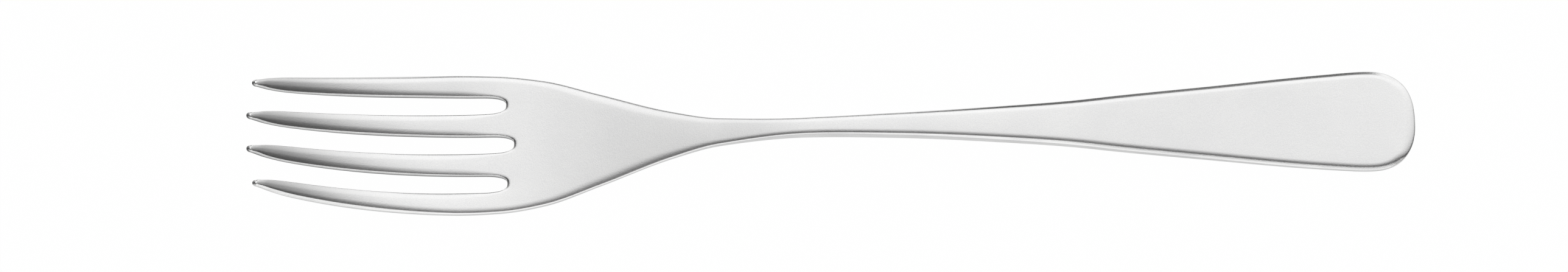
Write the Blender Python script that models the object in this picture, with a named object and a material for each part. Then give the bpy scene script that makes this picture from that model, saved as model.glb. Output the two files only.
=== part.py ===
"""Table fork of satin stainless steel, lying on its back as it does on a table.

X runs along the fork, from the tine tips at -X to the end of the handle at +X.
Y runs across it and Z is up. Z = 0 is the table under the bowl and the handle.

A fork is one piece of steel. It is shaped here as it is made: a flat outline,
its edges rounded over, its thickness rolled, then bent along a spine. The
finished solid is divided at flat planes into the named sections.

Stations along the fork are metres from the tips of the inner tines.
"""

import bmesh
import bpy
import numpy as np
from mathutils.geometry import delaunay_2d_cdt

# Overall size
LENGTH = 0.2034
HEAD_WIDTH = 0.0251
NECK_WIDTH = 0.00305
HANDLE_WIDTH = 0.01797

# Tines and the slots between them
TINE_WIDTH = 0.0039
TIP_WIDTH = 0.0011
TIP_PITCH = 0.00587
TIP_PITCH_POWER = 1.85
TIP_NOSE = 0.0005
TIP_SQUARENESS = 2.1
OUTER_TIP_STEP = 0.0009
WIDEST_AT = 0.03505
SLOT_END = 0.04515
OUTER_SLOT_STEP = 0.0013
SLOT_ROUND = 0.005
SLOT_SQUARENESS = 2.8

# Outline of the neck and the handle
NECK_AT = 0.09585
HANDLE_END_LENGTH = 0.0085
HANDLE_END_SQUARENESS = 2.45

# Side view: heights are of the middle of the steel above the table
TINE_BEND_RADIUS = 0.0645
BOWL_AT = 0.04105
CREST_AT = 0.10005
CREST_HEIGHT = 0.0076
REST_CUT = 0.00015

# Thickness at the edges, and the extra depth along the middle of the shoulders
TIP_THICKNESS = 0.0011
TINE_THICKNESS = 0.00175
SHOULDER_THICKNESS = 0.00145
NECK_ROOT_THICKNESS = 0.00167
NECK_THICKNESS = 0.0031
HANDLE_THICKNESS = 0.0017
BELLY = 0.0011
TINE_FULL_AT = 0.0245
BELLY_AT = 0.0767
BELLY_END = 0.1054

# Rounding of the edges: a corner arc, a steep bevel, then a shallow roll onto the face
SLOT_CORNER = 0.00015
RIM_CORNER = 0.00015
NECK_CORNER = 0.0003
HANDLE_CORNER = 0.0003
HANDLE_END_CORNER = 0.00018
SLOT_BEVEL = 0.00006
ROOT_BEVEL = 0.0003
TIP_RIM_BEVEL = 0.0005
RIM_BEVEL = 0.0002
NECK_BEVEL = 0.0001
HANDLE_BEVEL = 0.00048
TINE_ROLL = 0.0010
ROOT_ROLL = 0.0004
SHOULDER_ROLL = 0.0016
HANDLE_ROLL = 0.00075
HANDLE_END_ROLL = 0.0016
TINE_ROLL_DEGREES = 13
RIM_ROLL_DEGREES = 18
TIP_ROLL_DEGREES = 6
HANDLE_ROLL_DEGREES = 18
HANDLE_END_DEGREES = 12
BEVEL_INNER_DEGREES = 24
RIM_STEEPER_DEGREES = 14
BEVEL_OUTER_DEGREES = 32
ROLL_NARROWS_FROM = 0.07
ROLL_NARROWS_TO = 0.085
HANDLE_EDGE_AT = 0.15
ROUNDED_SHARE = 0.42

# Crown of the upper face: across each tine and across the neck
TIP_CROWN_DEGREES = 13
TINE_CROWN_DEGREES = 3
NECK_CROWN_DEGREES = 3.5
CROWN_FADE = 0.034

# Dish of the head across its width, and the lean of the cut at the tine tips
DISH_DEGREES = 2.2
DISH_HALF_WIDTH = 0.0095
TIP_LEAN_DEGREES = 17
TIP_LEAN_END = 0.004
TIP_EASE_DEGREES = 18
TIP_EASE_LENGTH = 0.0018

# Planes between the named sections, and the saw cut at each of them
TINE_PLANE = 0.04205
ROOT_PLANE = 0.07605
NECK_PLANE = 0.12305
SAW_CUT = 0.00002

# Fineness of the mesh
HULL_STEPS = 36
TINE_STEPS = 12
ROUND_STEPS = 10
CORNER_STEPS = 2
BEVEL_STEPS = 1
ROLL_STEPS = 2
ROW_STEPS = 4

# Shapes between the named widths, as (part of the way, part of the change)
SHOULDER_CURVE = [
    (0, 1), (0.12, 0.98), (0.25, 0.885), (0.41, 0.618),
    (0.62, 0.246), (0.76, 0.081), (1, 0),
]
FLARE_CURVE = [
    (0, 0), (0.17, 0.067), (0.38, 0.235), (0.47, 0.33),
    (0.565, 0.47), (0.7, 0.65), (0.93, 0.945), (1, 1),
]
TINE_CURVE = [
    (0, 0), (0.06, 0.34), (0.11, 0.52), (0.18, 0.63),
    (0.37, 0.78), (0.6, 0.89), (0.9, 1), (1, 1),
]

SECTIONS = ("tine_1", "tine_2", "tine_3", "tine_4", "root", "neck", "handle")


def smooth(at, stops):
    """The curve through the stops, level at both ends and with no overshoot."""
    place, value = np.array(stops, float).T
    grade = np.diff(value) / np.diff(place)
    left, right = grade[:-1], grade[1:]
    slope = np.zeros_like(value)
    np.divide(2 * left * right, left + right, out=slope[1:-1], where=left * right > 0)
    i = np.clip(np.searchsorted(place, at, "right") - 1, 0, len(grade) - 1)
    run = place[i + 1] - place[i]
    t = np.clip((at - place[i]) / run, 0, 1)
    start = value[i] * (1 + 2 * t) + slope[i] * run * t
    finish = value[i + 1] * (3 - 2 * t) - slope[i + 1] * run * (1 - t)
    return start * (1 - t) ** 2 + finish * t**2


def tine_half(s, tip):
    """Half the width of a tine whose tip is at the station tip."""
    along = (s - tip) / (SLOT_END - tip)
    return (TIP_WIDTH + (TINE_WIDTH - TIP_WIDTH) * smooth(along, TINE_CURVE)) / 2


def pitch(s):
    """Distance between neighbouring tines, which draw together towards their tips."""
    root_pitch = (HEAD_WIDTH / 2 - tine_half(WIDEST_AT, OUTER_TIP_STEP)) / 1.5
    left = np.clip(1 - s / WIDEST_AT, 0, 1)
    return root_pitch + (TIP_PITCH - root_pitch) * left**TIP_PITCH_POWER


def hull_half(s):
    """Half the width of the fork from the widest part of the head to the handle."""
    to_neck = (s - WIDEST_AT) / (NECK_AT - WIDEST_AT)
    to_end = (s - NECK_AT) / (LENGTH - HANDLE_END_LENGTH - NECK_AT)
    head = (HEAD_WIDTH - NECK_WIDTH) * smooth(to_neck, SHOULDER_CURVE)
    handle = (HANDLE_WIDTH - NECK_WIDTH) * smooth(to_end, FLARE_CURVE)
    return (NECK_WIDTH + head + handle) / 2


def thickness(s):
    """Thickness of the steel at its edges."""
    shoulder = (WIDEST_AT + NECK_AT) / 2
    stops = [
        (0, TIP_THICKNESS),
        (TINE_FULL_AT, TINE_THICKNESS),
        (shoulder, SHOULDER_THICKNESS),
        ((shoulder + NECK_AT) / 2, NECK_ROOT_THICKNESS),
        (CREST_AT, NECK_THICKNESS),
        (LENGTH, HANDLE_THICKNESS),
    ]
    return smooth(s, stops)


def belly(s):
    """Extra depth of the underside along the middle of the shoulders."""
    return smooth(s, [(SLOT_END, 0), (BELLY_AT, BELLY), (BELLY_END, 0)])


def spine(s):
    """Height of the middle of the steel: down the tines, over the crest, down to the end."""
    low = thickness(BOWL_AT) / 2 - REST_CUT
    end = HANDLE_THICKNESS / 2 - REST_CUT
    back = np.clip(BOWL_AT - s, 0, 0.95 * TINE_BEND_RADIUS)
    rise = TINE_BEND_RADIUS - np.sqrt(TINE_BEND_RADIUS**2 - back**2)
    return rise + smooth(s, [(BOWL_AT, low), (CREST_AT, CREST_HEIGHT), (LENGTH, end)])


def tine_at(s, y):
    """The tip station and the middle line of the tine nearest to a point."""
    outer = np.clip(np.floor(np.abs(y) / pitch(s)), 0, 1)
    return OUTER_TIP_STEP * outer, np.sign(y) * (outer + 0.5) * pitch(s)


def crown(s, y):
    """Drop of the upper face towards the edges of a tine, or of the neck."""
    tip, middle = tine_at(s, y)
    tine_room = tine_half(s, tip)
    off = np.abs(y - middle)
    tine_stops = [(0, TIP_CROWN_DEGREES), (WIDEST_AT, TINE_CROWN_DEGREES), (SLOT_END, 0)]
    neck_stops = [(SLOT_END, 0), (NECK_AT, NECK_CROWN_DEGREES), (LENGTH - CROWN_FADE, 0)]
    drop = 0
    for room, across, stops in (
        (tine_room, off, tine_stops),
        (hull_half(s), np.abs(y), neck_stops),
    ):
        slope = np.tan(np.radians(smooth(s, stops)))
        drop = drop + room / 2 * slope * np.minimum(1, across / room) ** 2
    # The last of a tine eases over towards its tip
    left = np.clip(1 - (s - tip) / TIP_EASE_LENGTH, 0, 1)
    return drop + TIP_EASE_LENGTH / 2 * np.tan(np.radians(TIP_EASE_DEGREES)) * left**2


def dish(s, y):
    """Rise of the head towards its outer tines."""
    share = smooth(s, [(0, 0), (WIDEST_AT, 1), (SLOT_END + TINE_WIDTH, 0)])
    return share * np.tan(np.radians(DISH_DEGREES)) * y**2 / (2 * DISH_HALF_WIDTH)


def bend(s, y, height):
    """World points from stations, distances across, and heights off the middle of the steel."""
    step = 1e-5
    lean = smooth(s, [(OUTER_TIP_STEP, TIP_LEAN_DEGREES), (TIP_LEAN_END, 0)])
    s = s + height * np.tan(np.radians(lean))
    tilt = np.arctan((spine(s + step) - spine(s - step)) / (2 * step))
    x = s - LENGTH / 2 - height * np.sin(tilt)
    z = spine(s) + dish(s, y) + height * np.cos(tilt)
    return np.stack([x, y, np.maximum(z, 0)], axis=-1)


def edge(s, y, room, rim):
    """A stretch of outline: station, distance across, half width there, and 1 on the outer rim."""
    return np.stack(np.broadcast_arrays(s, y, room, rim), axis=-1)


def half_round(squareness):
    """Half a squared circle: how far its points lie out of the straight, and across it."""
    turn = np.radians(np.linspace(0, 180, ROUND_STEPS + 1))
    power = 2 / squareness
    across = np.sign(np.cos(turn)) * np.abs(np.cos(turn)) ** power
    return np.abs(np.sin(turn)) ** power, across


def half_outline():
    """The outline from the end of the handle, along +Y, round to the end of the middle slot."""
    straight_end = LENGTH - HANDLE_END_LENGTH
    quarter = np.radians(np.linspace(0, 90, ROUND_STEPS + 1))
    power = 2 / HANDLE_END_SQUARENESS
    end_s = straight_end + HANDLE_END_LENGTH * np.cos(quarter) ** power
    end_y = HANDLE_WIDTH / 2 * np.sin(quarter) ** power
    hull = np.linspace(straight_end, WIDEST_AT, HULL_STEPS + 1)[1:-1]
    parts = [
        edge(end_s, end_y, HANDLE_WIDTH / 2, 1),
        edge(hull, hull_half(hull), hull_half(hull), 1),
    ]
    slot_half = (pitch(SLOT_END) - TINE_WIDTH) / 2
    spacing = np.linspace(0, 1, TINE_STEPS + 1) ** 1.3
    start = WIDEST_AT
    for place, tip, slot_end in (
        (1.5, OUTER_TIP_STEP, SLOT_END - OUTER_SLOT_STEP),
        (0.5, 0, SLOT_END),
    ):
        nose = tip + TIP_NOSE
        outer = nose + spacing[::-1] * (start - nose)
        round_from = slot_end - SLOT_ROUND
        inner = nose + spacing * (round_from - nose)
        outer_half, inner_half = tine_half(outer, tip), tine_half(inner, tip)
        on_rim = place > 1
        out, across = half_round(TIP_SQUARENESS)
        nose_s = nose - TIP_NOSE * out
        nose_y = place * pitch(nose) + outer_half[-1] * across
        out, across = half_round(SLOT_SQUARENESS)
        root_s = round_from + SLOT_ROUND * out
        root_y = (place - 0.5) * pitch(slot_end) + slot_half * across
        parts += [
            edge(outer, place * pitch(outer) + outer_half, outer_half, on_rim),
            edge(nose_s, nose_y, TIP_WIDTH / 2, on_rim * np.linspace(1, 0, len(out)))[1:-1],
            edge(inner, place * pitch(inner) - inner_half, inner_half, 0),
            edge(root_s, root_y, TINE_WIDTH, 0)[1:-1],
        ]
        start = round_from
    points = np.concatenate(parts)
    return points[points[:, 1] > -1e-9]


def outline():
    """The closed outline, counterclockwise from the end of the handle."""
    half = half_outline()
    return np.concatenate([half, half[-2:0:-1] * (1, -1, 1, 1)])


def edge_rings(points):
    """Stations, distances across and drops of rings that round the edge over onto the face."""
    s, y, room, rim = points.T
    flat = points[:, :2]
    ahead = np.roll(flat, -1, axis=0) - flat
    ahead /= np.linalg.norm(ahead, axis=1)[:, None]
    along = ahead + np.roll(ahead, 1, axis=0)
    along /= np.linalg.norm(along, axis=1)[:, None]
    # Rings step inwards square to the outline, and towards one point at a tine tip
    inwards = np.stack([-along[:, 1], along[:, 0]], axis=1)
    tip, middle = tine_at(s, y)
    hub = np.stack([tip + TIP_WIDTH / 2, middle], axis=1)
    on_tip = s < hub[:, 0]
    inwards[on_tip] = (hub - flat)[on_tip] / (TIP_WIDTH / 2)
    # How far the edge faces the handle end, a tine tip or the end of a slot
    to_end = np.clip(along[:, 1], 0, 1) ** 2
    to_left = np.clip(-along[:, 1], 0, 1) ** 2
    at_tip = to_left * (s < TIP_LEAN_END)
    at_root = to_left * (s > TIP_LEAN_END)
    on_handle = smooth(s, [(NECK_AT, 0), (HANDLE_EDGE_AT, 1)])
    corner_stops = [(WIDEST_AT, RIM_CORNER), (NECK_AT, NECK_CORNER), (HANDLE_EDGE_AT, HANDLE_CORNER)]
    rim_corner = smooth(s, corner_stops)
    rim_corner = rim_corner + (HANDLE_END_CORNER - rim_corner) * to_end
    bevel_stops = [
        (0, TIP_RIM_BEVEL),
        (WIDEST_AT, RIM_BEVEL),
        (ROLL_NARROWS_FROM, NECK_BEVEL),
        (NECK_AT, NECK_BEVEL),
        (HANDLE_EDGE_AT, HANDLE_BEVEL),
    ]
    # The bevel fades out round the end of the handle and round a nose
    rim_bevel = smooth(s, bevel_stops) * smooth(to_end, [(0.25, 1), (0.7, 0.1)])
    slot_bevel = SLOT_BEVEL + (ROOT_BEVEL - SLOT_BEVEL) * at_root
    corner = SLOT_CORNER + (rim_corner - SLOT_CORNER) * rim
    bevel = (slot_bevel + (rim_bevel - slot_bevel) * rim) * smooth(at_tip, [(0, 1), (1, 0.1)])
    slot_roll = smooth(s, [(WIDEST_AT, TINE_ROLL), (SLOT_END - 2 * OUTER_SLOT_STEP, ROOT_ROLL)])
    shoulder = (WIDEST_AT + NECK_AT) / 2
    roll_stops = [(SLOT_END, TINE_ROLL), (shoulder, SHOULDER_ROLL), (ROLL_NARROWS_TO, HANDLE_ROLL)]
    rim_roll = smooth(s, roll_stops)
    rim_roll = rim_roll + (HANDLE_END_ROLL - rim_roll) * to_end
    fit = np.minimum(1, 0.55 * room / (corner + bevel))
    corner, bevel = corner * fit, bevel * fit
    roll = np.minimum(slot_roll + (rim_roll - slot_roll) * rim, 0.85 * room - corner - bevel)
    tine_tilt = TINE_ROLL_DEGREES + (RIM_ROLL_DEGREES - TINE_ROLL_DEGREES) * rim
    inner = tine_tilt * smooth(s, [(0, 0.1), (WIDEST_AT, 1)])
    inner = inner + (HANDLE_ROLL_DEGREES - inner) * on_handle
    inner = inner + (TIP_ROLL_DEGREES - inner) * at_tip + (HANDLE_END_DEGREES - inner) * to_end**2
    steeper = RIM_STEEPER_DEGREES * rim * (1 - on_handle) * (1 - at_tip)
    bevel_inner = np.radians(np.maximum(inner, BEVEL_INNER_DEGREES) + steeper)
    bevel_outer = np.radians(BEVEL_OUTER_DEGREES + steeper)
    inner = np.radians(inner)
    insets, drops = [np.zeros_like(s)], [np.zeros_like(s)]
    parts = np.linspace(0, 1, CORNER_STEPS + 1)[1:]
    tilts = [np.pi / 2 + (bevel_outer - np.pi / 2) * part for part in parts]
    insets += [corner * (1 - np.sin(tilt)) for tilt in tilts]
    drops += [corner * np.cos(tilt) for tilt in tilts]
    for width, first, last, count in (
        (bevel, bevel_outer, bevel_inner, BEVEL_STEPS),
        (roll, inner, 0 * inner, ROLL_STEPS),
    ):
        for k in range(count):
            middle = first + (last - first) * (k + 0.5) / count
            insets.append(insets[-1] + width / count)
            drops.append(drops[-1] + width / count * np.tan(middle))
    # The rounding from above and from below leaves a strip of plain wall between them
    shrink = np.minimum(1, ROUNDED_SHARE * thickness(s) / drops[-1])
    return [
        (s + inwards[:, 0] * inset, y + inwards[:, 1] * inset, (drops[-1] - drop) * shrink)
        for inset, drop in zip(insets, drops)
    ]


def fill(s, y):
    """Points inside the innermost ring, in rows across the fork, and triangles over ring and rows."""
    count = len(s)
    loop = [(i, (i + 1) % count) for i in range(count)]
    inside, links = [], []
    for i in range(1, count // 2):
        if s[i] < SLOT_END + 2 * TINE_ROLL:
            break
        chain = count + len(inside) + np.arange(ROW_STEPS - 1)
        inside += [(s[i], y[i] * (1 - 2 * k / ROW_STEPS)) for k in range(1, ROW_STEPS)]
        chain = [i, *chain, count - i]
        links += zip(chain[:-1], chain[1:])
    flat = np.concatenate([np.stack([s, y], axis=1), np.array(inside)])
    result = delaunay_2d_cdt((flat * 1000).tolist(), loop + links, [range(count)], 1, 1e-7)
    origin = [sources[0] for sources in result[3]]
    return flat[count:], [[origin[i] for i in face] for face in result[2]]


def fork_mesh():
    """The whole fork as one closed mesh."""
    points = outline()
    rings = edge_rings(points)
    inside, triangles = fill(*rings[-1][:2])
    count = len(points)

    def top(s, y, drop):
        return bend(s, y, thickness(s) / 2 - drop - crown(s, y))

    def bottom(s, y, drop):
        deep = belly(s) * (1 - np.minimum(1, np.abs(y) / hull_half(s)) ** 2)
        return bend(s, y, drop - thickness(s) / 2 - deep)

    loops = [top(*ring) for ring in reversed(rings)] + [bottom(*ring) for ring in rings]
    caps = [top(*inside.T, 0), bottom(*inside.T, 0)]
    faces = []
    for k in range(len(loops) - 1):
        for i in range(count):
            j = (i + 1) % count
            upper, lower = k * count, (k + 1) * count
            faces.append((upper + i, lower + i, lower + j, upper + j))
    last_ring = (len(loops) - 1) * count
    first_cap = len(loops) * count
    second_cap = first_cap + len(inside)
    for face in triangles:
        faces.append([i if i < count else first_cap + i - count for i in face])
        under = [last_ring + i if i < count else second_cap + i - count for i in face]
        faces.append(under[::-1])
    mesh = bpy.data.meshes.new("fork")
    mesh.from_pydata(np.concatenate(loops + caps).tolist(), [], faces)
    mesh.validate()
    return mesh


def steel(name):
    """Satin stainless steel for one section."""
    material = bpy.data.materials.new(name)
    material.use_nodes = True
    shader = material.node_tree.nodes["Principled BSDF"]
    shader.inputs["Base Color"].default_value = (0.72, 0.71, 0.69, 1)
    shader.inputs["Metallic"].default_value = 1
    shader.inputs["Roughness"].default_value = 0.32
    return material


def section(name, whole, low, high, lane=None):
    """The stretch of the fork between two stations, and between two distances across."""
    part = bmesh.new()
    part.from_mesh(whole)
    for station, side in ((low, -1), (high, 1)):
        plane_x = station - LENGTH / 2 - side * SAW_CUT / 2
        bmesh.ops.bisect_plane(
            part,
            geom=part.verts[:] + part.edges[:] + part.faces[:],
            dist=1e-7,
            plane_co=(plane_x, 0, 0),
            plane_no=(side, 0, 0),
            clear_outer=True,
        )
    if lane:
        outside = [v for v in part.verts if not lane[0] < v.co.y < lane[1]]
        bmesh.ops.delete(part, geom=outside, context="VERTS")
    bmesh.ops.holes_fill(part, edges=part.edges[:], sides=0)
    mesh = bpy.data.meshes.new(name)
    part.to_mesh(mesh)
    part.free()
    mesh.shade_smooth()
    mesh.set_sharp_from_angle(angle=np.radians(50))
    mesh.materials.append(steel(name + "_steel"))
    bpy.context.scene.collection.objects.link(bpy.data.objects.new(name, mesh))


def main():
    for obj in list(bpy.data.objects):
        bpy.data.objects.remove(obj)
    whole = fork_mesh()
    beyond = 2 * HEAD_WIDTH
    slot = pitch(TINE_PLANE)
    lanes = [(slot, beyond), (0, slot), (-slot, 0), (-beyond, -slot)]
    for name, lane in zip(SECTIONS[:4], lanes):
        section(name, whole, -beyond, TINE_PLANE, lane)
    section("root", whole, TINE_PLANE, ROOT_PLANE)
    section("neck", whole, ROOT_PLANE, NECK_PLANE)
    section("handle", whole, NECK_PLANE, LENGTH + beyond)
    bpy.data.meshes.remove(whole)


main()
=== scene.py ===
import bmesh
import bpy
import numpy as np
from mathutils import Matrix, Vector
from mathutils.geometry import delaunay_2d_cdt


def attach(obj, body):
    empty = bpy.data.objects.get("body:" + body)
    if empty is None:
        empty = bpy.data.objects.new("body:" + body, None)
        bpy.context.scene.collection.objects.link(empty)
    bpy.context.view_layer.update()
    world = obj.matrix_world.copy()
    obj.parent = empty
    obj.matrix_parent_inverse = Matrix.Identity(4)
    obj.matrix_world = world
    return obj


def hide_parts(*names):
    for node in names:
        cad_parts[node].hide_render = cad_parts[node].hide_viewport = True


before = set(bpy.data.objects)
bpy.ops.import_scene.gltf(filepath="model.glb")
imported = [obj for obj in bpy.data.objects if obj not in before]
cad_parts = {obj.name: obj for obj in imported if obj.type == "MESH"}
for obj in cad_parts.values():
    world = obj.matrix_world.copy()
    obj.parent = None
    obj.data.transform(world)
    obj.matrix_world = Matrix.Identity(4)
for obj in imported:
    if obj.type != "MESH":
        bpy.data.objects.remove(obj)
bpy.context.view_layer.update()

# Overall size, metres
LENGTH = 0.2034
HEAD_WIDTH = 0.0251
NECK_WIDTH = 0.00305
HANDLE_WIDTH = 0.01797

# Tines and the slots between them; places are in pitches off the middle of the fork
OUTER_PLACE = 1.5
INNER_PLACE = 0.5
TINE_WIDTH = 0.0039
TIP_WIDTH = 0.0011
TIP_PITCH = 0.00587
TIP_PITCH_POWER = 1.85
TIP_NOSE = 0.0005
TIP_SQUARENESS = 2.1
OUTER_TIP_STEP = 0.0009
WIDEST_AT = 0.03505
SLOT_END = 0.04515
OUTER_SLOT_STEP = 0.0013
SLOT_ROUND = 0.005
SLOT_SQUARENESS = 2.8

# Outline of the neck and the handle
NECK_AT = 0.09585
HANDLE_END_LENGTH = 0.0085
HANDLE_END_SQUARENESS = 2.45

# Side view: heights are of the middle of the steel above the table
TINE_BEND_RADIUS = 0.0645
BEND_LIMIT = 0.95
BOWL_AT = 0.04105
CREST_AT = 0.10005
CREST_HEIGHT = 0.0076
REST_CUT = 0.00015

# Thickness at the edges, and the extra depth along the middle of the shoulders
TIP_THICKNESS = 0.0011
TINE_THICKNESS = 0.00175
SHOULDER_THICKNESS = 0.00145
NECK_ROOT_THICKNESS = 0.00167
NECK_THICKNESS = 0.0031
HANDLE_THICKNESS = 0.0017
BELLY = 0.0011
TINE_FULL_AT = 0.0245
BELLY_AT = 0.0767
BELLY_END = 0.1054

# Rounding of the edges: a corner arc, a steep bevel, then a shallow roll onto the face
SLOT_CORNER = 0.00015
RIM_CORNER = 0.00015
NECK_CORNER = 0.0003
HANDLE_CORNER = 0.0003
HANDLE_END_CORNER = 0.00018
SLOT_BEVEL = 0.00006
ROOT_BEVEL = 0.0003
TIP_RIM_BEVEL = 0.0005
RIM_BEVEL = 0.0002
NECK_BEVEL = 0.0001
HANDLE_BEVEL = 0.00048
TINE_ROLL = 0.0010
ROOT_ROLL = 0.0004
SHOULDER_ROLL = 0.0016
HANDLE_ROLL = 0.00075
HANDLE_END_ROLL = 0.0016
TINE_ROLL_DEGREES = 13
RIM_ROLL_DEGREES = 18
TIP_ROLL_DEGREES = 6
HANDLE_ROLL_DEGREES = 18
HANDLE_END_DEGREES = 12
BEVEL_INNER_DEGREES = 24
RIM_STEEPER_DEGREES = 14
BEVEL_OUTER_DEGREES = 32
ROLL_NARROWS_FROM = 0.07
ROLL_NARROWS_TO = 0.085
HANDLE_EDGE_AT = 0.15
ROUNDED_SHARE = 0.42
TIP_TILT_SHARE = 0.1
EDGE_ROOM = 0.55
ROLL_ROOM = 0.85

# Crown of the upper face: across each tine and across the neck
TIP_CROWN_DEGREES = 13
TINE_CROWN_DEGREES = 3
NECK_CROWN_DEGREES = 3.5
CROWN_FADE = 0.034

# Dish of the head across its width, and the lean of the cut at the tine tips
DISH_DEGREES = 2.2
DISH_HALF_WIDTH = 0.0095
TIP_LEAN_DEGREES = 17
TIP_LEAN_END = 0.004
TIP_EASE_DEGREES = 18
TIP_EASE_LENGTH = 0.0018

# Planes between the named sections
TINE_PLANE = 0.04205
ROOT_PLANE = 0.07605
NECK_PLANE = 0.12305

# Fineness of the mesh
STEP = 0.0006
ROUND_STEPS = 24
CORNER_STEPS = 6
BEVEL_STEPS = 5
ROLL_STEPS = 6
ROW_STEPS = 12
SPACING_POWER = 1.3
SLOPE_STEP = 1e-5
TOLERANCE = 1e-7
MILLIMETRES = 1000

# Shapes between the named widths, as (part of the way, part of the change)
SHOULDER_CURVE = [
    (0, 1), (0.12, 0.98), (0.25, 0.885), (0.41, 0.618),
    (0.62, 0.246), (0.76, 0.081), (1, 0),
]
FLARE_CURVE = [
    (0, 0), (0.17, 0.067), (0.38, 0.235), (0.47, 0.33),
    (0.565, 0.47), (0.7, 0.65), (0.93, 0.945), (1, 1),
]
TINE_CURVE = [
    (0, 0), (0.06, 0.34), (0.11, 0.52), (0.18, 0.63),
    (0.37, 0.78), (0.6, 0.89), (0.9, 1), (1, 1),
]

# What is left of the bevel, as (how far the edge faces the end, part of the bevel)
HANDLE_END_FADE = [(0.25, 1), (0.7, 0.1)]
TIP_FADE = [(0, 1), (1, 0.1)]

# Satin steel: colours as linear light, sizes and depths in metres
STEEL_DARK = (0.665, 0.665, 0.668)
STEEL_LIGHT = (0.735, 0.733, 0.728)
STEEL_WORN = (0.76, 0.76, 0.755)
# The torn colour is painted shade: it makes the lower slot walls as dark as if they mirrored the
# shadowed floor beneath the tines
STEEL_TORN_AND_SHADE = (0.27, 0.27, 0.27)
STEEL_PIT = (0.4, 0.4, 0.39)
SATIN_ROUGHNESS = 0.3
GRAIN_SIZE = 0.00018
GRAIN_DEPTH = 1.2e-5
BRUSH_WIDTH = 0.00025
BRUSH_STRETCH = 30
BRUSH_DEPTH = 2e-7
CLOUD_SIZE = 0.012
PIT_SPACING = 0.004
PIT_SIZE = 0.00012
PIT_DEPTH = 1e-5

# How strongly each pattern shows in the steel's colour and roughness; pairs are (none, full)
NOISE_ROUGHNESS = 0.6
TINT_RANGE = (0.3, 0.7)
TINT_OFFSET = 0.325
GRAIN_TINT = 1.2
BRUSH_TINT = 0.05
CLOUD_TINT = 0.4
GRAIN_ROUGHNESS = 0.06
BRUSH_ROUGHNESS = 0.06
EDGE_POLISH = 0.08
WORN_POLISH = 0.04
TORN_ROUGHNESS = 0.2
TORN_AND_SHADE_GRAIN = 0.3
TORN_AND_SHADE_RANGE = (0.45, 0.7)
WORN_RANGE = (0.8, 1.2)
PIT_RANGE = (0.9, 0.95)

# Studio light, as levels against white over the directions that it comes from. A turn is in
# degrees from straight up, positive behind the fork and negative in front; a side is the x of
# the direction. Each range is (from, to) or (from, to, level at from, level at to).
AMBIENT = 0.04
SOFTBOX_EDGE = -7.0
SOFTBOX_BLUR = 9.0
SOFTBOX_TURN = (5.0, 28.0, 1.05, 1.36)
SOFTBOX_SIDES = [
    (-0.9, 0.05), (-0.6, 0.36), (-0.35, 0.9), (-0.2, 1.06), (0, 1.03),
    (0.5, 1), (0.7, 0.8), (0.84, 0.52), (1, 0.6),
]
RIGHT_FROM = 0.3
RIGHT_SLANT = 103.0
RIGHT_POWER = 1.5
RIGHT_BLUR = 40.0
LEFT_FROM = -0.25
LEFT_SLANT = 20.0
BEHIND_TURN = (50.0, 62.0)
BEHIND_WIDE = (0.18, 0.3, 1.0, 0.0)
BEHIND_DARKER = 0.96
BESIDE_TURN = (42.0, 68.0)
BESIDE_SIDE = (0.35, 0.6)
BESIDE_DARKER = 0.3
FILL_TURN = (-28.0, -46.0, 0.0, 1.15)
FILL_LEFT = (-0.6, -0.3)
FILL_RIGHT = (0.53, 0.73, 1.0, 0.0)
LOW_FILL_TURN = (-58.0, -72.0, 0.0, 0.6)
LEFT_FILL_TURN = (-24.0, -40.0, 0.0, 0.6)
LEFT_FILL_SIDE = (-0.8, -0.6, 1.0, 0.0)

# Floor: its half size in metres, its grey, and how white the camera and the steel see it
FLOOR_HALF = 15
FLOOR_GREY = 0.9
FLOOR_WHITE_SEEN = 0.99
FLOOR_WHITE_MIRRORED = 0.6

# Camera: the photograph's viewing angle, its lens in pixels, and the sensor in millimetres
VIEW_ELEVATION = 76
VIEW_AZIMUTH = -1.6
VIEW_DISTANCE = 0.9
VIEW_TARGET = (-0.0092, 0, 0.00185)
FOCAL_PIXELS = 8428.5
IMAGE_WIDTH = 2576
SENSOR_WIDTH = 36


def smooth(at, stops):
    """The curve through the stops, level at both ends and with no overshoot."""
    place, value = np.array(stops, float).T
    grade = np.diff(value) / np.diff(place)
    left, right = grade[:-1], grade[1:]
    slope = np.zeros_like(value)
    np.divide(2 * left * right, left + right, out=slope[1:-1], where=left * right > 0)
    i = np.clip(np.searchsorted(place, at, "right") - 1, 0, len(grade) - 1)
    run = place[i + 1] - place[i]
    t = np.clip((at - place[i]) / run, 0, 1)
    start = value[i] * (1 + 2 * t) + slope[i] * run * t
    finish = value[i + 1] * (3 - 2 * t) - slope[i + 1] * run * (1 - t)
    return start * (1 - t) ** 2 + finish * t**2


def tine_half(s, tip):
    """Half the width of a tine whose tip is at the station tip."""
    along = (s - tip) / (SLOT_END - tip)
    return (TIP_WIDTH + (TINE_WIDTH - TIP_WIDTH) * smooth(along, TINE_CURVE)) / 2


def pitch(s):
    """Distance between neighbouring tines, which draw together towards their tips."""
    root_pitch = (HEAD_WIDTH / 2 - tine_half(WIDEST_AT, OUTER_TIP_STEP)) / OUTER_PLACE
    left = np.clip(1 - s / WIDEST_AT, 0, 1)
    return root_pitch + (TIP_PITCH - root_pitch) * left**TIP_PITCH_POWER


def hull_half(s):
    """Half the width of the fork from the widest part of the head to the handle."""
    to_neck = (s - WIDEST_AT) / (NECK_AT - WIDEST_AT)
    to_end = (s - NECK_AT) / (LENGTH - HANDLE_END_LENGTH - NECK_AT)
    head = (HEAD_WIDTH - NECK_WIDTH) * smooth(to_neck, SHOULDER_CURVE)
    handle = (HANDLE_WIDTH - NECK_WIDTH) * smooth(to_end, FLARE_CURVE)
    return (NECK_WIDTH + head + handle) / 2


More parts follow.
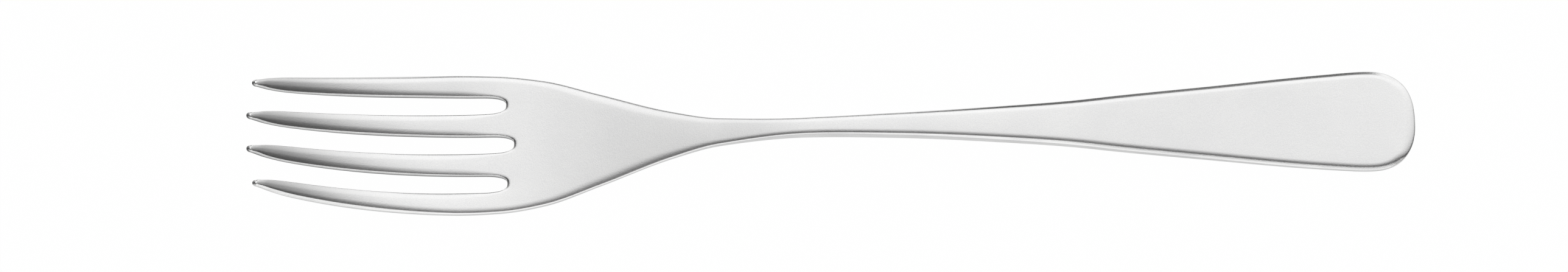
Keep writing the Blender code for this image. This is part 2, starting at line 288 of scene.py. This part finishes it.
def thickness(s):
    """Thickness of the steel at its edges."""
    shoulder = (WIDEST_AT + NECK_AT) / 2
    stops = [
        (0, TIP_THICKNESS),
        (TINE_FULL_AT, TINE_THICKNESS),
        (shoulder, SHOULDER_THICKNESS),
        ((shoulder + NECK_AT) / 2, NECK_ROOT_THICKNESS),
        (CREST_AT, NECK_THICKNESS),
        (LENGTH, HANDLE_THICKNESS),
    ]
    return smooth(s, stops)


def belly(s):
    """Extra depth of the underside along the middle of the shoulders."""
    return smooth(s, [(SLOT_END, 0), (BELLY_AT, BELLY), (BELLY_END, 0)])


def spine(s):
    """Height of the middle of the steel: down the tines, over the crest, down to the end."""
    low = thickness(BOWL_AT) / 2 - REST_CUT
    end = HANDLE_THICKNESS / 2 - REST_CUT
    back = np.clip(BOWL_AT - s, 0, BEND_LIMIT * TINE_BEND_RADIUS)
    rise = TINE_BEND_RADIUS - np.sqrt(TINE_BEND_RADIUS**2 - back**2)
    return rise + smooth(s, [(BOWL_AT, low), (CREST_AT, CREST_HEIGHT), (LENGTH, end)])


def tine_at(s, y):
    """The tip station and the middle line of the tine nearest to a point."""
    outer = np.clip(np.floor(np.abs(y) / pitch(s)), 0, 1)
    return OUTER_TIP_STEP * outer, np.sign(y) * (outer + INNER_PLACE) * pitch(s)


def crown(s, y):
    """Drop of the upper face towards the edges of a tine, or of the neck."""
    tip, middle = tine_at(s, y)
    tine_room = tine_half(s, tip)
    off = np.abs(y - middle)
    tine_stops = [(0, TIP_CROWN_DEGREES), (WIDEST_AT, TINE_CROWN_DEGREES), (SLOT_END, 0)]
    neck_stops = [(SLOT_END, 0), (NECK_AT, NECK_CROWN_DEGREES), (LENGTH - CROWN_FADE, 0)]
    drop = 0
    for room, across, stops in (
        (tine_room, off, tine_stops),
        (hull_half(s), np.abs(y), neck_stops),
    ):
        slope = np.tan(np.radians(smooth(s, stops)))
        drop = drop + room / 2 * slope * np.minimum(1, across / room) ** 2
    # The last of a tine eases over towards its tip
    left = np.clip(1 - (s - tip) / TIP_EASE_LENGTH, 0, 1)
    return drop + TIP_EASE_LENGTH / 2 * np.tan(np.radians(TIP_EASE_DEGREES)) * left**2


def dish(s, y):
    """Rise of the head towards its outer tines."""
    share = smooth(s, [(0, 0), (WIDEST_AT, 1), (SLOT_END + TINE_WIDTH, 0)])
    return share * np.tan(np.radians(DISH_DEGREES)) * y**2 / (2 * DISH_HALF_WIDTH)


def bend(s, y, height):
    """World points from stations, distances across, and heights off the middle of the steel."""
    lean = smooth(s, [(OUTER_TIP_STEP, TIP_LEAN_DEGREES), (TIP_LEAN_END, 0)])
    s = s + height * np.tan(np.radians(lean))
    slope = (spine(s + SLOPE_STEP) - spine(s - SLOPE_STEP)) / (2 * SLOPE_STEP)
    tilt = np.arctan(slope)
    x = s - LENGTH / 2 - height * np.sin(tilt)
    z = spine(s) + dish(s, y) + height * np.cos(tilt)
    return np.stack([x, y, np.maximum(z, 0)], axis=-1)


def edge(s, y, room, rim):
    """A stretch of outline: station, distance across, half width there, and 1 on the outer rim."""
    return np.stack(np.broadcast_arrays(s, y, room, rim), axis=-1)


def steps(length):
    """How many steps of the mesh a stretch of this length takes."""
    return int(round(length / STEP))


def half_round(squareness):
    """Half a squared circle: how far its points lie out of the straight, and across it."""
    turn = np.radians(np.linspace(0, 180, ROUND_STEPS + 1))
    power = 2 / squareness
    across = np.sign(np.cos(turn)) * np.abs(np.cos(turn)) ** power
    return np.abs(np.sin(turn)) ** power, across


def half_outline():
    """The outline from the end of the handle, along +Y, round to the end of the middle slot."""
    straight_end = LENGTH - HANDLE_END_LENGTH
    quarter = np.radians(np.linspace(0, 90, 2 * ROUND_STEPS + 1))
    power = 2 / HANDLE_END_SQUARENESS
    end_s = straight_end + HANDLE_END_LENGTH * np.cos(quarter) ** power
    end_y = HANDLE_WIDTH / 2 * np.sin(quarter) ** power
    hull = np.linspace(straight_end, WIDEST_AT, steps(straight_end - WIDEST_AT) + 1)[1:-1]
    parts = [
        edge(end_s, end_y, HANDLE_WIDTH / 2, 1),
        edge(hull, hull_half(hull), hull_half(hull), 1),
    ]
    slot_half = (pitch(SLOT_END) - TINE_WIDTH) / 2
    spacing = np.linspace(0, 1, steps(SLOT_END) + 1) ** SPACING_POWER
    start = WIDEST_AT
    for place, tip, slot_end in (
        (OUTER_PLACE, OUTER_TIP_STEP, SLOT_END - OUTER_SLOT_STEP),
        (INNER_PLACE, 0, SLOT_END),
    ):
        nose = tip + TIP_NOSE
        outer = nose + spacing[::-1] * (start - nose)
        round_from = slot_end - SLOT_ROUND
        inner = nose + spacing * (round_from - nose)
        outer_half, inner_half = tine_half(outer, tip), tine_half(inner, tip)
        on_rim = place == OUTER_PLACE
        out, across = half_round(TIP_SQUARENESS)
        nose_s = nose - TIP_NOSE * out
        nose_y = place * pitch(nose) + outer_half[-1] * across
        out, across = half_round(SLOT_SQUARENESS)
        root_s = round_from + SLOT_ROUND * out
        # The slot lies half a pitch inside its tine
        root_y = (place - 0.5) * pitch(slot_end) + slot_half * across
        parts += [
            edge(outer, place * pitch(outer) + outer_half, outer_half, on_rim),
            edge(nose_s, nose_y, TIP_WIDTH / 2, on_rim * np.linspace(1, 0, len(out)))[1:-1],
            edge(inner, place * pitch(inner) - inner_half, inner_half, 0),
            edge(root_s, root_y, TINE_WIDTH, 0)[1:-1],
        ]
        start = round_from
    points = np.concatenate(parts)
    return points[points[:, 1] > -TOLERANCE]


def outline():
    """The closed outline, counterclockwise from the end of the handle."""
    half = half_outline()
    return np.concatenate([half, half[-2:0:-1] * (1, -1, 1, 1)])


def edge_rings(points):
    """Stations, distances across and drops of rings that round the edge over onto the face."""
    s, y, room, rim = points.T
    flat = points[:, :2]
    ahead = np.roll(flat, -1, axis=0) - flat
    ahead /= np.linalg.norm(ahead, axis=1)[:, None]
    along = ahead + np.roll(ahead, 1, axis=0)
    along /= np.linalg.norm(along, axis=1)[:, None]
    # Rings step inwards square to the outline, and towards one point at a tine tip
    inwards = np.stack([-along[:, 1], along[:, 0]], axis=1)
    tip, middle = tine_at(s, y)
    hub = np.stack([tip + TIP_WIDTH / 2, middle], axis=1)
    on_tip = s < hub[:, 0]
    inwards[on_tip] = (hub - flat)[on_tip] / (TIP_WIDTH / 2)
    # How far the edge faces the handle end, a tine tip or the end of a slot
    to_end = np.clip(along[:, 1], 0, 1) ** 2
    to_left = np.clip(-along[:, 1], 0, 1) ** 2
    at_tip = to_left * (s < TIP_LEAN_END)
    at_root = to_left * (s > TIP_LEAN_END)
    on_handle = smooth(s, [(NECK_AT, 0), (HANDLE_EDGE_AT, 1)])
    corner_stops = [
        (WIDEST_AT, RIM_CORNER),
        (NECK_AT, NECK_CORNER),
        (HANDLE_EDGE_AT, HANDLE_CORNER),
    ]
    rim_corner = smooth(s, corner_stops)
    rim_corner = rim_corner + (HANDLE_END_CORNER - rim_corner) * to_end
    bevel_stops = [
        (0, TIP_RIM_BEVEL),
        (WIDEST_AT, RIM_BEVEL),
        (ROLL_NARROWS_FROM, NECK_BEVEL),
        (NECK_AT, NECK_BEVEL),
        (HANDLE_EDGE_AT, HANDLE_BEVEL),
    ]
    # The bevel fades out round the end of the handle and round a nose
    rim_bevel = smooth(s, bevel_stops) * smooth(to_end, HANDLE_END_FADE)
    slot_bevel = SLOT_BEVEL + (ROOT_BEVEL - SLOT_BEVEL) * at_root
    corner = SLOT_CORNER + (rim_corner - SLOT_CORNER) * rim
    bevel = (slot_bevel + (rim_bevel - slot_bevel) * rim) * smooth(at_tip, TIP_FADE)
    slot_stops = [(WIDEST_AT, TINE_ROLL), (SLOT_END - 2 * OUTER_SLOT_STEP, ROOT_ROLL)]
    slot_roll = smooth(s, slot_stops)
    shoulder = (WIDEST_AT + NECK_AT) / 2
    roll_stops = [
        (SLOT_END, TINE_ROLL),
        (shoulder, SHOULDER_ROLL),
        (ROLL_NARROWS_TO, HANDLE_ROLL),
    ]
    rim_roll = smooth(s, roll_stops)
    rim_roll = rim_roll + (HANDLE_END_ROLL - rim_roll) * to_end
    fit = np.minimum(1, EDGE_ROOM * room / (corner + bevel))
    corner, bevel = corner * fit, bevel * fit
    roll = slot_roll + (rim_roll - slot_roll) * rim
    roll = np.minimum(roll, ROLL_ROOM * room - corner - bevel)
    tine_tilt = TINE_ROLL_DEGREES + (RIM_ROLL_DEGREES - TINE_ROLL_DEGREES) * rim
    inner = tine_tilt * smooth(s, [(0, TIP_TILT_SHARE), (WIDEST_AT, 1)])
    inner = inner + (HANDLE_ROLL_DEGREES - inner) * on_handle
    to_tip = (TIP_ROLL_DEGREES - inner) * at_tip
    inner = inner + to_tip + (HANDLE_END_DEGREES - inner) * to_end**2
    steeper = RIM_STEEPER_DEGREES * rim * (1 - on_handle) * (1 - at_tip)
    bevel_inner = np.radians(np.maximum(inner, BEVEL_INNER_DEGREES) + steeper)
    bevel_outer = np.radians(BEVEL_OUTER_DEGREES + steeper)
    inner = np.radians(inner)
    insets, drops = [np.zeros_like(s)], [np.zeros_like(s)]
    parts = np.linspace(0, 1, CORNER_STEPS + 1)[1:]
    tilts = [np.pi / 2 + (bevel_outer - np.pi / 2) * part for part in parts]
    insets += [corner * (1 - np.sin(tilt)) for tilt in tilts]
    drops += [corner * np.cos(tilt) for tilt in tilts]
    for width, first, last, count in (
        (bevel, bevel_outer, bevel_inner, BEVEL_STEPS),
        (roll, inner, 0 * inner, ROLL_STEPS),
    ):
        for k in range(count):
            middle = first + (last - first) * (k + 0.5) / count
            insets.append(insets[-1] + width / count)
            drops.append(drops[-1] + width / count * np.tan(middle))
    # The rounding from above and from below leaves a strip of plain wall between them
    shrink = np.minimum(1, ROUNDED_SHARE * thickness(s) / drops[-1])
    return [
        (s + inwards[:, 0] * inset, y + inwards[:, 1] * inset, (drops[-1] - drop) * shrink)
        for inset, drop in zip(insets, drops)
    ]


def fill(s, y):
    """Points in rows across the fork inside the innermost ring, and triangles over both."""
    count = len(s)
    loop = [(i, (i + 1) % count) for i in range(count)]
    inside, links = [], []
    for i in range(1, count // 2):
        if s[i] < SLOT_END + 2 * TINE_ROLL:
            break
        chain = count + len(inside) + np.arange(ROW_STEPS - 1)
        inside += [(s[i], y[i] * (1 - 2 * k / ROW_STEPS)) for k in range(1, ROW_STEPS)]
        chain = [i, *chain, count - i]
        links += zip(chain[:-1], chain[1:])
    flat = np.concatenate([np.stack([s, y], axis=1), np.array(inside)])
    edges = loop + links
    points = (flat * MILLIMETRES).tolist()
    result = delaunay_2d_cdt(points, edges, [range(count)], 1, TOLERANCE)
    triangles, sources = result[2:4]
    origin = [source[0] for source in sources]
    return flat[count:], [[origin[i] for i in face] for face in triangles]


def fork_mesh():
    """The whole fork as one closed mesh."""
    points = outline()
    rings = edge_rings(points)
    inside, triangles = fill(*rings[-1][:2])
    count = len(points)

    def top(s, y, drop):
        return bend(s, y, thickness(s) / 2 - drop - crown(s, y))

    def bottom(s, y, drop):
        deep = belly(s) * (1 - np.minimum(1, np.abs(y) / hull_half(s)) ** 2)
        return bend(s, y, drop - thickness(s) / 2 - deep)

    loops = [top(*ring) for ring in reversed(rings)] + [bottom(*ring) for ring in rings]
    caps = [top(*inside.T, 0), bottom(*inside.T, 0)]
    faces = []
    for k in range(len(loops) - 1):
        for i in range(count):
            j = (i + 1) % count
            upper, lower = k * count, (k + 1) * count
            faces.append((upper + i, lower + i, lower + j, upper + j))
    last_ring = (len(loops) - 1) * count
    first_cap = len(loops) * count
    second_cap = first_cap + len(inside)
    for face in triangles:
        faces.append([i if i < count else first_cap + i - count for i in face])
        under = [last_ring + i if i < count else second_cap + i - count for i in face]
        faces.append(under[::-1])
    mesh = bpy.data.meshes.new("fork")
    mesh.from_pydata(np.concatenate(loops + caps).tolist(), [], faces)
    # The lower slot walls keep the rough break of the punch and carry painted shade, a dark colour
    # as if they mirrored the shadowed floor under the tines, and the edges are worn
    torn_and_shade, worn = np.zeros((2, len(mesh.vertices)))
    first = len(rings) * count
    torn_and_shade[first : first + CORNER_STEPS * count] = np.tile(1 - points[:, 3], CORNER_STEPS)
    edge_rows = (CORNER_STEPS + BEVEL_STEPS) * count
    worn[first - edge_rows : first + edge_rows] = 1
    for name, values in (("torn_and_shade", torn_and_shade), ("worn", worn)):
        mesh.attributes.new(name, "FLOAT", "POINT").data.foreach_set("value", values)
    mesh.validate()
    return mesh


def section_of(centre):
    """The name of the section that a face with this centre belongs to."""
    station = centre.x + LENGTH / 2
    if station > NECK_PLANE:
        return "handle"
    if station > ROOT_PLANE:
        return "neck"
    if station > TINE_PLANE:
        return "root"
    slot = pitch(TINE_PLANE)
    return "tine_%d" % (1 + sum(centre.y < limit for limit in (slot, 0, -slot)))


def cut(whole):
    """The whole fork with its faces cut at the planes between the sections."""
    body = bmesh.new()
    body.from_mesh(whole)
    for station in (TINE_PLANE, ROOT_PLANE, NECK_PLANE):
        bmesh.ops.bisect_plane(
            body,
            geom=body.verts[:] + body.edges[:] + body.faces[:],
            dist=TOLERANCE,
            plane_co=(station - LENGTH / 2, 0, 0),
            plane_no=(1, 0, 0),
        )
    body.normal_update()
    body.verts.ensure_lookup_table()
    body.verts.index_update()
    return body


def closed_mesh(name, body, faces):
    """These faces of the body as a closed mesh that keeps the body's normals and marks."""
    marks = [body.verts.layers.float[mark] for mark in ("torn_and_shade", "worn")]
    verts = sorted({v.index for face in faces for v in face.verts})
    place = {index: k for k, index in enumerate(verts)}
    part = bmesh.new()
    part_marks = [part.verts.layers.float.new(mark.name) for mark in marks]
    for index in verts:
        vert = part.verts.new(body.verts[index].co)
        for mark, part_mark in zip(marks, part_marks):
            vert[part_mark] = body.verts[index][mark]
    part.verts.ensure_lookup_table()
    for face in faces:
        part.faces.new([part.verts[place[v.index]] for v in face.verts]).smooth = True
    skin = len(part.faces)
    rims = [e for e in part.edges if e.is_boundary]
    bmesh.ops.holes_fill(part, edges=rims, sides=0)
    bmesh.ops.recalc_face_normals(part, faces=part.faces[:])
    for e in rims:
        e.smooth = False
    mesh = bpy.data.meshes.new(name)
    part.to_mesh(mesh)
    part.free()
    # The skin keeps the normals of the whole fork, and the cut faces stay flat
    normals = [tuple(body.verts[index].normal) for index in verts]
    loops = []
    for polygon in mesh.polygons:
        for index in polygon.vertices:
            loops.append(normals[index] if polygon.index < skin else tuple(polygon.normal))
    mesh.normals_split_custom_set(loops)
    return mesh


def sections(whole, material):
    """The fork as one closed piece per CAD node."""
    body = cut(whole)
    groups = {}
    for face in body.faces:
        groups.setdefault(section_of(face.calc_center_median()), []).append(face)
    for name in sorted(groups):
        mesh = closed_mesh(name, body, groups[name])
        mesh.materials.append(material)
        piece = bpy.data.objects.new("visual_" + name, mesh)
        bpy.context.scene.collection.objects.link(piece)
        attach(piece, "root")
        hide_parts(name)
    body.free()


def nodes_of(tree):
    """A short way to add a node and set its plain values."""

    def add(kind, **values):
        node = tree.nodes.new(kind)
        for key, value in values.items():
            if key.startswith("in_"):
                name = key[3:]
                node.inputs[int(name) if name.isdigit() else name].default_value = value
            else:
                setattr(node, key, value)
        return node

    return add


def sums(tree):
    """A short way to add a sum, product or other step of arithmetic to a node tree."""
    add = nodes_of(tree)

    def feed(node, k, value):
        if isinstance(value, (int, float)):
            node.inputs[k].default_value = value
        else:
            tree.links.new(value, node.inputs[k])

    def step(operation, *values):
        node = add("ShaderNodeMath", operation=operation)
        for k, value in enumerate(values):
            feed(node, k, value)
        return node.outputs[0]

    def rise(value, low, high, start=0.0, end=1.0):
        node = add("ShaderNodeMapRange", interpolation_type="SMOOTHSTEP")
        for k, given in enumerate((value, low, high, start, end)):
            feed(node, k, given)
        return node.outputs[0]

    return step, rise


def satin_steel():
    """Stainless steel with a fine satin finish, brushed along the fork."""
    material = bpy.data.materials.new("satin_steel")
    material.use_nodes = True
    tree = material.node_tree
    add, link = nodes_of(tree), tree.links.new
    step, rise = sums(tree)
    place = add("ShaderNodeTexCoord").outputs["Object"]

    def noise(size, detail, stretch=(1, 1, 1)):
        mapping = add("ShaderNodeMapping", in_Scale=[1 / (size * k) for k in stretch])
        link(place, mapping.inputs["Vector"])
        node = add("ShaderNodeTexNoise", in_Scale=1, in_Detail=detail)
        node.inputs["Roughness"].default_value = NOISE_ROUGHNESS
        link(mapping.outputs[0], node.inputs["Vector"])
        return node.outputs["Fac"]

    grain = noise(GRAIN_SIZE, 2)
    brushing = noise(BRUSH_WIDTH, 1, (BRUSH_STRETCH, 1, 1))
    cloud = noise(CLOUD_SIZE, 2)
    # Lower slot walls: rougher for the punch's break, and darkened with painted shade
    torn_and_shade = add("ShaderNodeAttribute", attribute_name="torn_and_shade").outputs["Fac"]
    torn_and_shade = rise(step("MULTIPLY_ADD", grain, TORN_AND_SHADE_GRAIN, torn_and_shade), *TORN_AND_SHADE_RANGE)
    edges = add("ShaderNodeAttribute", attribute_name="worn").outputs["Fac"]
    worn = step("MULTIPLY", edges, rise(step("ADD", cloud, brushing), *WORN_RANGE))

    # A few pits, each small against the cell that it sits in
    cells = add("ShaderNodeTexVoronoi", in_Scale=1 / PIT_SPACING)
    link(place, cells.inputs["Vector"])
    chosen = add("ShaderNodeSeparateColor")
    link(cells.outputs["Color"], chosen.inputs[0])
    pit_edge = PIT_SIZE / PIT_SPACING
    pit = rise(cells.outputs["Distance"], pit_edge / 2, pit_edge, 1.0, 0.0)
    pit = step("MULTIPLY", pit, rise(chosen.outputs[0], *PIT_RANGE))

    tint = add("ShaderNodeValToRGB")
    for k, shade in enumerate((STEEL_DARK, STEEL_LIGHT)):
        tint.color_ramp.elements[k].position = TINT_RANGE[k]
        tint.color_ramp.elements[k].color = (*shade, 1)
    shade = step("MULTIPLY_ADD", brushing, BRUSH_TINT, step("MULTIPLY", cloud, CLOUD_TINT))
    shade = step("MULTIPLY_ADD", grain, GRAIN_TINT, shade)
    link(step("SUBTRACT", shade, TINT_OFFSET), tint.inputs[0])
    colour = tint.outputs[0]
    # In a mix of colours, inputs 6 and 7 are the two colours and output 2 is the result
    for share, other in ((worn, STEEL_WORN), (torn_and_shade, STEEL_TORN_AND_SHADE), (pit, STEEL_PIT)):
        mix = add("ShaderNodeMix", data_type="RGBA")
        link(share, mix.inputs["Factor"])
        link(colour, mix.inputs[6])
        mix.inputs[7].default_value = (*other, 1)
        colour = mix.outputs[2]

    smoothest = SATIN_ROUGHNESS - BRUSH_ROUGHNESS / 2
    roughness = step("MULTIPLY_ADD", brushing, BRUSH_ROUGHNESS, smoothest)
    roughness = step("SUBTRACT", roughness, GRAIN_ROUGHNESS / 2)
    roughness = step("MULTIPLY_ADD", grain, GRAIN_ROUGHNESS, roughness)
    roughness = step("MULTIPLY_ADD", edges, -EDGE_POLISH, roughness)
    roughness = step("MULTIPLY_ADD", worn, -WORN_POLISH, roughness)
    roughness = step("MULTIPLY_ADD", torn_and_shade, TORN_ROUGHNESS, roughness)

    relief = step("MULTIPLY", grain, GRAIN_DEPTH)
    relief = step("MULTIPLY_ADD", brushing, BRUSH_DEPTH, relief)
    relief = step("MULTIPLY_ADD", pit, -PIT_DEPTH, relief)
    bump = add("ShaderNodeBump", in_Strength=1, in_Distance=1)
    link(relief, bump.inputs["Height"])

    shader = tree.nodes["Principled BSDF"]
    shader.inputs["Metallic"].default_value = 1
    link(colour, shader.inputs["Base Color"])
    link(roughness, shader.inputs["Roughness"])
    link(bump.outputs[0], shader.inputs["Normal"])
    return material


def grey_ramp(tree, stops):
    """A ramp of greys over the side of a direction, from -1 to 1."""
    ramp = tree.nodes.new("ShaderNodeValToRGB")
    elements = ramp.color_ramp.elements
    while len(elements) > 1:
        elements.remove(elements[-1])
    for k, (side, level) in enumerate(stops):
        position = side / 2 + 0.5
        stop = elements[0] if k == 0 else elements.new(position)
        stop.position = position
        stop.color = (level, level, level, 1)
    return ramp


def softbox_level(tree, turn, side):
    """A wide softbox above and behind the fork, with its front edge slanting off at both ends."""
    step, rise = sums(tree)
    right = step("MAXIMUM", 0.0, step("SUBTRACT", side, RIGHT_FROM))
    left = step("MAXIMUM", 0.0, step("SUBTRACT", LEFT_FROM, side))
    right_slant = step("MULTIPLY", step("POWER", right, RIGHT_POWER), RIGHT_SLANT)
    slant = step("ADD", right_slant, step("MULTIPLY", left, LEFT_SLANT))
    blur = step("MULTIPLY_ADD", right, RIGHT_BLUR, SOFTBOX_BLUR)
    past_edge = step("SUBTRACT", step("ADD", turn, -SOFTBOX_EDGE), slant)
    level = rise(step("DIVIDE", past_edge, blur), -1.0, 1.0)
    level = step("MULTIPLY", level, rise(turn, *SOFTBOX_TURN))
    sides = grey_ramp(tree, SOFTBOX_SIDES)
    tree.links.new(step("MULTIPLY_ADD", side, 0.5, 0.5), sides.inputs[0])
    level = step("MULTIPLY", level, sides.outputs[0])
    # Darker low behind the fork, and a little darker behind to the right
    wide = step("ABSOLUTE", side)
    behind = step("MULTIPLY", rise(turn, *BEHIND_TURN), rise(wide, *BEHIND_WIDE))
    level = step("MULTIPLY", level, step("MULTIPLY_ADD", behind, -BEHIND_DARKER, 1.0))
    beside = step("MULTIPLY", rise(turn, *BESIDE_TURN), rise(side, *BESIDE_SIDE))
    return step("MULTIPLY", level, step("MULTIPLY_ADD", beside, -BESIDE_DARKER, 1.0))


def fill_level(tree, turn, side):
    """A fill in front of the fork, and a weaker one lower down and to the left."""
    step, rise = sums(tree)
    ends = step("MULTIPLY", rise(side, *FILL_LEFT), rise(side, *FILL_RIGHT))
    level = step("MULTIPLY", rise(turn, *FILL_TURN), ends)
    low = rise(turn, *LOW_FILL_TURN)
    to_left = step("MULTIPLY", rise(turn, *LEFT_FILL_TURN), rise(side, *LEFT_FILL_SIDE))
    return step("MAXIMUM", level, step("MAXIMUM", low, to_left))


def studio_light():
    """Soft studio light in the world: the softbox, the fill, and darker gaps between them."""
    world = bpy.data.worlds.new("studio")
    bpy.context.scene.world = world
    world.use_nodes = True
    tree = world.node_tree
    add, link = nodes_of(tree), tree.links.new
    step, _ = sums(tree)
    split = add("ShaderNodeSeparateXYZ")
    link(add("ShaderNodeTexCoord").outputs["Generated"], split.inputs[0])
    side = split.outputs["X"]
    turn = step("DEGREES", step("ARCTAN2", split.outputs["Y"], split.outputs["Z"]))
    level = step("ADD", softbox_level(tree, turn, side), fill_level(tree, turn, side))
    background = tree.nodes["Background"]
    background.inputs["Color"].default_value = (1, 1, 1, 1)
    link(step("ADD", level, AMBIENT), background.inputs["Strength"])


def floor():
    """A plain white floor that keeps a soft shadow of the fork."""
    mesh = bpy.data.meshes.new("floor")
    half = FLOOR_HALF
    corners = [(-half, -half, 0), (half, -half, 0), (half, half, 0), (-half, half, 0)]
    mesh.from_pydata(corners, [], [(0, 1, 2, 3)])
    obj = bpy.data.objects.new("floor", mesh)
    bpy.context.scene.collection.objects.link(obj)
    material = bpy.data.materials.new("white_floor")
    material.use_nodes = True
    tree = material.node_tree
    add, link = nodes_of(tree), tree.links.new
    tree.nodes.remove(tree.nodes["Principled BSDF"])
    output = tree.nodes["Material Output"]
    grey = (FLOOR_GREY, FLOOR_GREY, FLOOR_GREY, 1)
    diffuse = add("ShaderNodeBsdfDiffuse", in_Color=grey)
    white = add("ShaderNodeEmission", in_Color=(1, 1, 1, 1), in_Strength=1)
    step, _ = sums(tree)
    path = add("ShaderNodeLightPath")
    rays = path.outputs
    mirrored = step("MAXIMUM", rays["Is Glossy Ray"], rays["Is Transmission Ray"])
    mirrored = step("MULTIPLY", mirrored, FLOOR_WHITE_MIRRORED)
    seen = step("MULTIPLY", rays["Is Camera Ray"], FLOOR_WHITE_SEEN)
    share = step("MAXIMUM", seen, mirrored)
    mix = add("ShaderNodeMixShader")
    link(share, mix.inputs[0])
    link(diffuse.outputs[0], mix.inputs[1])
    link(white.outputs[0], mix.inputs[2])
    link(mix.outputs[0], output.inputs["Surface"])
    mesh.materials.append(material)


def camera():
    """The camera at the photograph's viewing angle."""
    data = bpy.data.cameras.new("camera")
    data.sensor_fit = "HORIZONTAL"
    data.sensor_width = SENSOR_WIDTH
    data.lens = FOCAL_PIXELS / IMAGE_WIDTH * SENSOR_WIDTH
    obj = bpy.data.objects.new("camera", data)
    bpy.context.scene.collection.objects.link(obj)
    turn, rise = np.radians(VIEW_AZIMUTH), np.radians(VIEW_ELEVATION)
    back = Vector((np.sin(turn) * np.cos(rise), -np.cos(turn) * np.cos(rise), np.sin(rise)))
    obj.location = Vector(VIEW_TARGET) + back * VIEW_DISTANCE
    obj.rotation_mode = "QUATERNION"
    obj.rotation_quaternion = (-back).to_track_quat("-Z", "Y")
    bpy.context.scene.camera = obj


camera()
studio_light()
floor()
whole = fork_mesh()
sections(whole, satin_steel())
bpy.data.meshes.remove(whole)
bpy.context.scene.view_settings.view_transform = "Standard"
